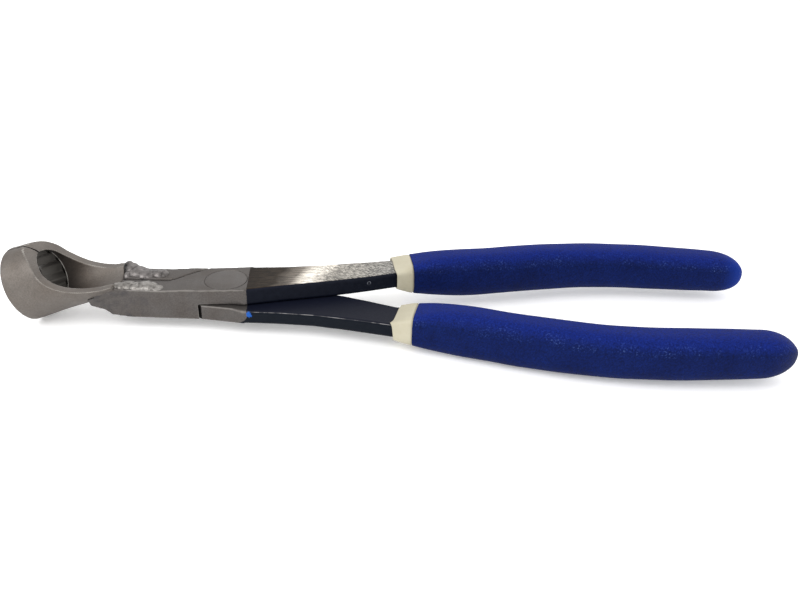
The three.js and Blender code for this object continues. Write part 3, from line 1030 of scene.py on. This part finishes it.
BAND_START = 0.9
BAND_END = 10.7
BAND_OUTER_RADIUS = 10.9
ROOT_RADIUS = 10.35
TIP_RADIUS = 9.1
TEETH = 12
TIP_FLAT = 0.1
ROOT_FLAT = 0.12


def tooth_radius(turns):
    """Inner radius of the band: pointed teeth with slightly flat tips and roots."""
    away = np.abs((turns * TEETH / (2 * math.pi)) % 1 - 0.5) * 2
    slope = np.clip((away - TIP_FLAT) / (1 - TIP_FLAT - ROOT_FLAT), 0, 1)
    return TIP_RADIUS + (ROOT_RADIUS - TIP_RADIUS) * slope


def band_mesh(side):
    """Half a ring of teeth with chamfered ends."""
    start = math.asin(GAP / 2 / BAND_OUTER_RADIUS)
    turns = np.linspace(start, math.pi - start, 217)
    inner = tooth_radius(turns)
    levels = [
        (BAND_START, 0.55),
        (BAND_START + 0.25, 0.45),
        (BAND_START + 1.1, 0),
        (BAND_END - 0.25, 0),
        (BAND_END - 0.06, 0.06),
        (BAND_END, 0.25),
    ]
    rings = []
    for back, chamfer in levels:
        radius = np.minimum(inner + chamfer, BAND_OUTER_RADIUS - 0.15)
        outer = np.full(len(turns), BAND_OUTER_RADIUS)
        loop_radius = np.r_[radius, outer[::-1]]
        loop_turns = np.r_[turns, turns[::-1]]
        across = side * loop_radius * np.sin(loop_turns)
        up = loop_radius * np.cos(loop_turns)
        rings.append(np.stack([np.full(len(across), back), across, up], axis=1))
    points, faces = loft(rings)
    mesh = mesh_from(at_cup(points), faces)
    mark(mesh, "edge", edge_share(mesh))
    return mesh


for side, word in SIDES:
    finished(f"{word}_toothed_band", band_mesh(side), BAND, 25)

# --- Levers and rivet ---------------------------------------------------------


def valley():
    """V groove between the two jaws, on top, in front of the lap."""
    return prism([[-1.5, 7], [1.5, 7], [0.1, 2.6], [-0.1, 2.6]], -46, -20, "x")


def weld_zone(points):
    """1 where the jaw's tip was welded to the cup, fading out behind it."""
    return np.clip((-33 - points[:, 0]) / 8, 0, 1)


def joint_zone(points):
    """1 on the lever, fading out where the sleeve covers it."""
    return np.clip((70 - points[:, 0]) / 10, 0.05, 1)


# Outer top edge of the left handle: [x, y], and its height
RIDGE_LINE = [[8, -12.3], [21, -12.4], [34, -13.3], [43, -14.8], [53, -16.7], [62, -18.6]]
RIDGE_Z = -0.4

# Smudge of lighter blue paint at the start of that handle: its middle and half sizes
SMUDGE = np.array([10.2, -12, -1.6])
SMUDGE_HALVES = np.array([1.8, 4, 2.2])

# Ground-down weld on each jaw's outer side, where it meets the cup: x, height, and
# half length, half thickness and half height
SIDE_FILLET_Y = 8.75
SIDE_FILLET = [
    [-47.6, 0.9, 1.7, 0.7, 1.9],
    [-45.6, 1.9, 2, 0.8, 2.3],
    [-43.2, 3, 2, 0.8, 2.3],
    [-40.9, 3.9, 2, 0.9, 2.2],
    [-38.8, 4.2, 2.1, 0.8, 1.9],
    [-36.4, 4.2, 2.4, 0.5, 1.5],
]


# Where the two levers meet on top: [x, y]. It is turned over on the underside.
LAP_LINE = np.array([[-7.9, 9.2], [-19.2, -0.15], [-50, -0.15]])
# The dark line round the jaw's tip shows in front of here
JAW_TIP_X = -46.5


def from_line(points, line):
    """Distance of each plane point from a line of several runs."""
    nearest = np.full(len(points), 1000.0)
    for start, end in zip(line[:-1], line[1:]):
        run = end - start
        share = np.clip((points - start) @ run / (run @ run), 0, 1)
        away = np.linalg.norm(points - start - share[:, None] * run, axis=1)
        nearest = np.minimum(nearest, away)
    return nearest


def seam_distance(points):
    """Distance from the dark lines: the lap, and the tip of the jaw on the cup."""
    plan = points[:, :2] * np.where(points[:, 2:] < 0, [1, -1], [1, 1])
    lap = from_line(plan, LAP_LINE)
    back = points[:, 0] - MOUTH_X
    up = (points[:, 2] - MOUTH_Z) * math.cos(CUP_TILT) - back * math.sin(CUP_TILT)
    wall = OUTER_WALL[-2][0]
    tip = np.abs(np.hypot(points[:, 1], up) - wall) + np.clip(points[:, 0] - JAW_TIP_X, 0, 9)
    return np.minimum(lap, tip)


def lever_mesh(node):
    """The CAD's lever with a groove, fillets and softened edges. The left jaw's has the pit."""
    side = LEFT if node.startswith("left") else RIGHT
    cutters = [valley()]
    if side == LEFT:
        cutters.append(lumpy([[*DIMPLE, DIMPLE_RADIUS, DIMPLE_RADIUS, DIMPLE_RADIUS]]))
    fillets = [[x, side * SIDE_FILLET_Y, z, *halves] for x, z, *halves in SIDE_FILLET]
    grooved = carved(cad_copy(node), cutters)
    mesh = carved(lumpy(fillets, grooved), voxel=0.34, rounds=3, share=0.55)
    points = points_of(mesh)
    # The outer edges away from the weld are marked for their painted highlight
    outer = np.clip((np.abs(points[:, 1]) - 6) / 2, 0, 1)
    mark(mesh, "edge", edge_share(mesh) * outer * (1 - weld_zone(points)))
    mark(mesh, "seam", seam_distance(points))
    roughened(mesh, 7, 0.05, joint_zone)
    roughened(mesh, 3, 0.12, weld_zone)
    return mesh


finished(
    "left_jaw_lever",
    lever_mesh("left_jaw_lever"),
    lever_look("ground_lever", ground=True, ridge=False, smudge=False),
)

right_lever = lever_mesh("right_jaw_lever")
places = points_of(right_lever)
# The ridge mark places the pale ridge line and the painted shade on the side face below it
ridge_y = np.interp(places[:, 0], *np.array(RIDGE_LINE).T)
mark(right_lever, "ridge", (places[:, 1] - ridge_y) + (places[:, 2] - RIDGE_Z))
distance = np.linalg.norm((places - SMUDGE) / SMUDGE_HALVES, axis=1)
mark(right_lever, "smudge", np.clip(1.1 - distance, 0, 1))
finished(
    "right_jaw_lever",
    right_lever,
    lever_look("painted_lever", ground=False, ridge=True, smudge=True),
)

# Upper half of the rivet: [radius, height]. The lower half is its mirror image.
RIVET_SEGMENTS = 96
RIVET_PROFILE = [
    [3, 6],
    [7.45, 6],
    [7.62, 5.93],
    [7.7, 5.8],
    [7.7, 5.2],
    [5, 3.4],
    [5, 0],
]


def rivet_mesh():
    lower = [[radius, -height] for radius, height in RIVET_PROFILE[-2::-1]]
    turns = 2 * math.pi * np.arange(RIVET_SEGMENTS) / RIVET_SEGMENTS
    circle = np.stack([np.cos(turns), np.sin(turns), 0 * turns], axis=1)
    rings = [radius * circle + [0, 0, height] for radius, height in RIVET_PROFILE + lower]
    return mesh_from(*loft(rings))


finished("pivot_rivet", rivet_mesh(), rivet_look(), 25)

# --- Welds --------------------------------------------------------------------

# Lumps of each bead: x, y, z of the middle, then half length, half width and half height
WELD_LUMPS = {
    "left_top_weld": [
        [-36.6, -6.2, 5, 2.4, 2.3, 1.5],
        [-34.4, -5.6, 5, 3.3, 3.1, 1.8],
        [-31.4, -5.9, 5, 3.6, 3, 1.7],
        [-28.7, -5.4, 5, 3.5, 3.3, 1.95],
        [-26.2, -6, 5, 3.3, 3, 1.7],
        [-23.8, -6.6, 4.9, 2.5, 2.4, 1.3],
    ],
    "left_tack_weld": [
        [-38.9, -6.4, 5.3, 1, 1.6, 1.2],
        [-38, -5.2, 5.2, 1, 1.3, 1.1],
    ],
    "right_top_weld": [
        [-38.6, 8.5, 5.2, 2, 2.6, 2.8],
        [-37, 6.8, 5, 2.9, 3.8, 2.8],
        [-34.5, 5.2, 4.9, 3.7, 3.9, 2.4],
        [-31.7, 4.5, 4.8, 3.5, 3.7, 1.9],
        [-29.6, 4.2, 4.8, 2.6, 3.2, 1.5],
        [-37.4, 3, 4.7, 1.8, 2.3, 1.6],
    ],
    "right_end_weld": [
        [-27.8, 4.9, 5, 2.2, 2.6, 1.5],
        [-25.8, 4.2, 5.1, 2.8, 3.1, 1.9],
        [-24.2, 3.9, 5.1, 1.9, 2.5, 1.6],
    ],
    "left_bottom_weld": [
        [-47.6, -1.6, -2.6, 1.4, 1.3, 0.6],
        [-47.8, -3.4, -2.6, 1.5, 1.4, 0.6],
        [-47.9, -5.2, -2.5, 1.3, 1.2, 0.6],
    ],
    "right_bottom_weld": [
        [-47.6, 1.6, -2.6, 1.4, 1.3, 0.6],
        [-47.8, 3.4, -2.6, 1.5, 1.4, 0.6],
        [-47.9, 5.2, -2.5, 1.3, 1.2, 0.6],
    ],
}
BRIGHT_WELDS = ("left_top_weld", "left_tack_weld")

# The front end of the long bead on the right jaw gets painted shade under its edge
UNDERCUT_WELD = "right_top_weld"
UNDERCUT_X = -38
UNDERCUT_BELOW_Z = 8.4


def weld_mesh(name):
    """A bead of merged lumps. Its creases are marked up to 1, and an undercut above 1."""
    mesh = carved(lumpy(WELD_LUMPS[name]), voxel=0.2, rounds=9)
    roughened(mesh, 4.5, 0.4)
    crease = edge_share(mesh, -1)
    if name == UNDERCUT_WELD:
        x, _, z = points_of(mesh).T
        ahead = np.clip((UNDERCUT_X - x) / 0.8, 0, 1)
        crease = np.maximum(crease, 2 * ahead * np.clip(UNDERCUT_BELOW_Z - z, 0, 1))
    mark(mesh, "crease", crease)
    return mesh


for name in WELD_LUMPS:
    look = BRIGHT_WELD if name in BRIGHT_WELDS else DULL_WELD
    finished(name, weld_mesh(name), look)

# --- Floor, light and camera --------------------------------------------------

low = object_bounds()[0]


def plain_look(name, colour):
    """Nearly even pale surface with a little light of its own."""
    look = Look(name)
    grain = look.noise(0.02, 2)
    pale = tuple(0.985 * part for part in colour)
    look.set(colour=look.ramp(grain, (0.3, pale), (0.7, colour)), roughness=0.9, specular=0.1)
    look.shader.inputs["Emission Color"].default_value = (1, 1, 1, 1)
    look.shader.inputs["Emission Strength"].default_value = 0.22
    return look.material


FLOOR_REACH = 4
floor_mesh = bpy.data.meshes.new("floor")
corners = [(-1, -1), (1, -1), (1, 1), (-1, 1)]
floor_mesh.from_pydata(
    [(FLOOR_REACH * x, FLOOR_REACH * y, low.z - 0.0001) for x, y in corners],
    [],
    [(0, 1, 2, 3)],
)
floor_mesh.materials.append(plain_look("pale_floor", (0.93, 0.93, 0.93)))
floor = bpy.data.objects.new("floor", floor_mesh)
bpy.context.scene.collection.objects.link(floor)

world = bpy.data.worlds.new("studio")
world.use_nodes = True
world.node_tree.nodes["Background"].inputs["Color"].default_value = (1, 1, 1, 1)
world.node_tree.nodes["Background"].inputs["Strength"].default_value = 1.05
bpy.context.scene.world = world
bpy.context.scene.view_settings.view_transform = "Standard"


def soft_light(name, place, target, size, power):
    light = bpy.data.lights.new(name, "AREA")
    light.shape = "SQUARE"
    light.size = size
    light.energy = power
    lamp = bpy.data.objects.new(name, light)
    lamp.location = place
    lamp.rotation_euler = (Vector(target) - Vector(place)).to_track_quat("-Z", "Y").to_euler()
    bpy.context.scene.collection.objects.link(lamp)


MIDDLE = (0.06, 0, 0)
soft_light("key", (-0.45, -0.45, 0.65), MIDDLE, 0.6, 4.5)
soft_light("fill", (0.5, -0.6, 0.5), MIDDLE, 0.8, 1.5)
soft_light("back", (0.1, 0.7, 0.6), MIDDLE, 0.8, 1.5)

CAMERA_PLACE = (0.07162, -0.26753, 0.15298)
CAMERA_AZIMUTH = math.radians(1.565)
CAMERA_ELEVATION = math.radians(28.85)
CAMERA_ROLL = math.radians(0.91)
camera_data = bpy.data.cameras.new("camera")
camera_data.sensor_width = 36
camera_data.lens = 37.1
camera_data.clip_start = 0.01
camera_data.clip_end = 20
camera = bpy.data.objects.new("camera", camera_data)
turn = (
    Matrix.Rotation(CAMERA_AZIMUTH, 4, "Z")
    @ Matrix.Rotation(math.pi / 2 - CAMERA_ELEVATION, 4, "X")
    @ Matrix.Rotation(CAMERA_ROLL, 4, "Z")
)
camera.matrix_world = Matrix.Translation(CAMERA_PLACE) @ turn
bpy.context.scene.collection.objects.link(camera)
bpy.context.scene.camera = camera
